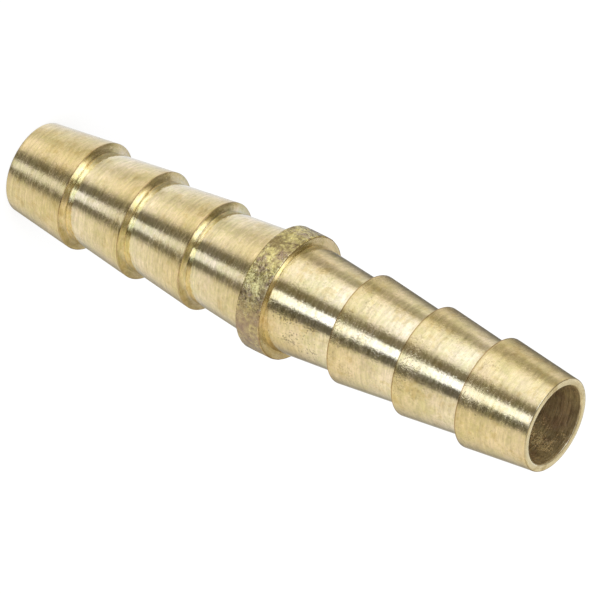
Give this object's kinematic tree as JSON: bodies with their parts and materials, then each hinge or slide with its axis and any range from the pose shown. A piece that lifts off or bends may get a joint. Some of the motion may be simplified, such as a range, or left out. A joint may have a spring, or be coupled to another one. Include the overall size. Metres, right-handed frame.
{
  "type": "hose mender",
  "caption": "Straight hose mender turned from brass bar: barbed tails on both sides of a raw-bar collar, with one bore drilled through.",
  "frame": {"origin": "centre of the end face of the lower tail, which the mender stands on", "axes": "+Z along the bore axis towards the other tail; the mender is round, so +X and +Y are free"},
  "size_m": [0.0126, 0.0126, 0.063],
  "materials": {
    "brass": "turned pale brass with fine tool marks, and raw mottled bar surface on the collar"
  },
  "bodies": {
    "root": {"mender": "brass"}
  },
  "joints": []
}
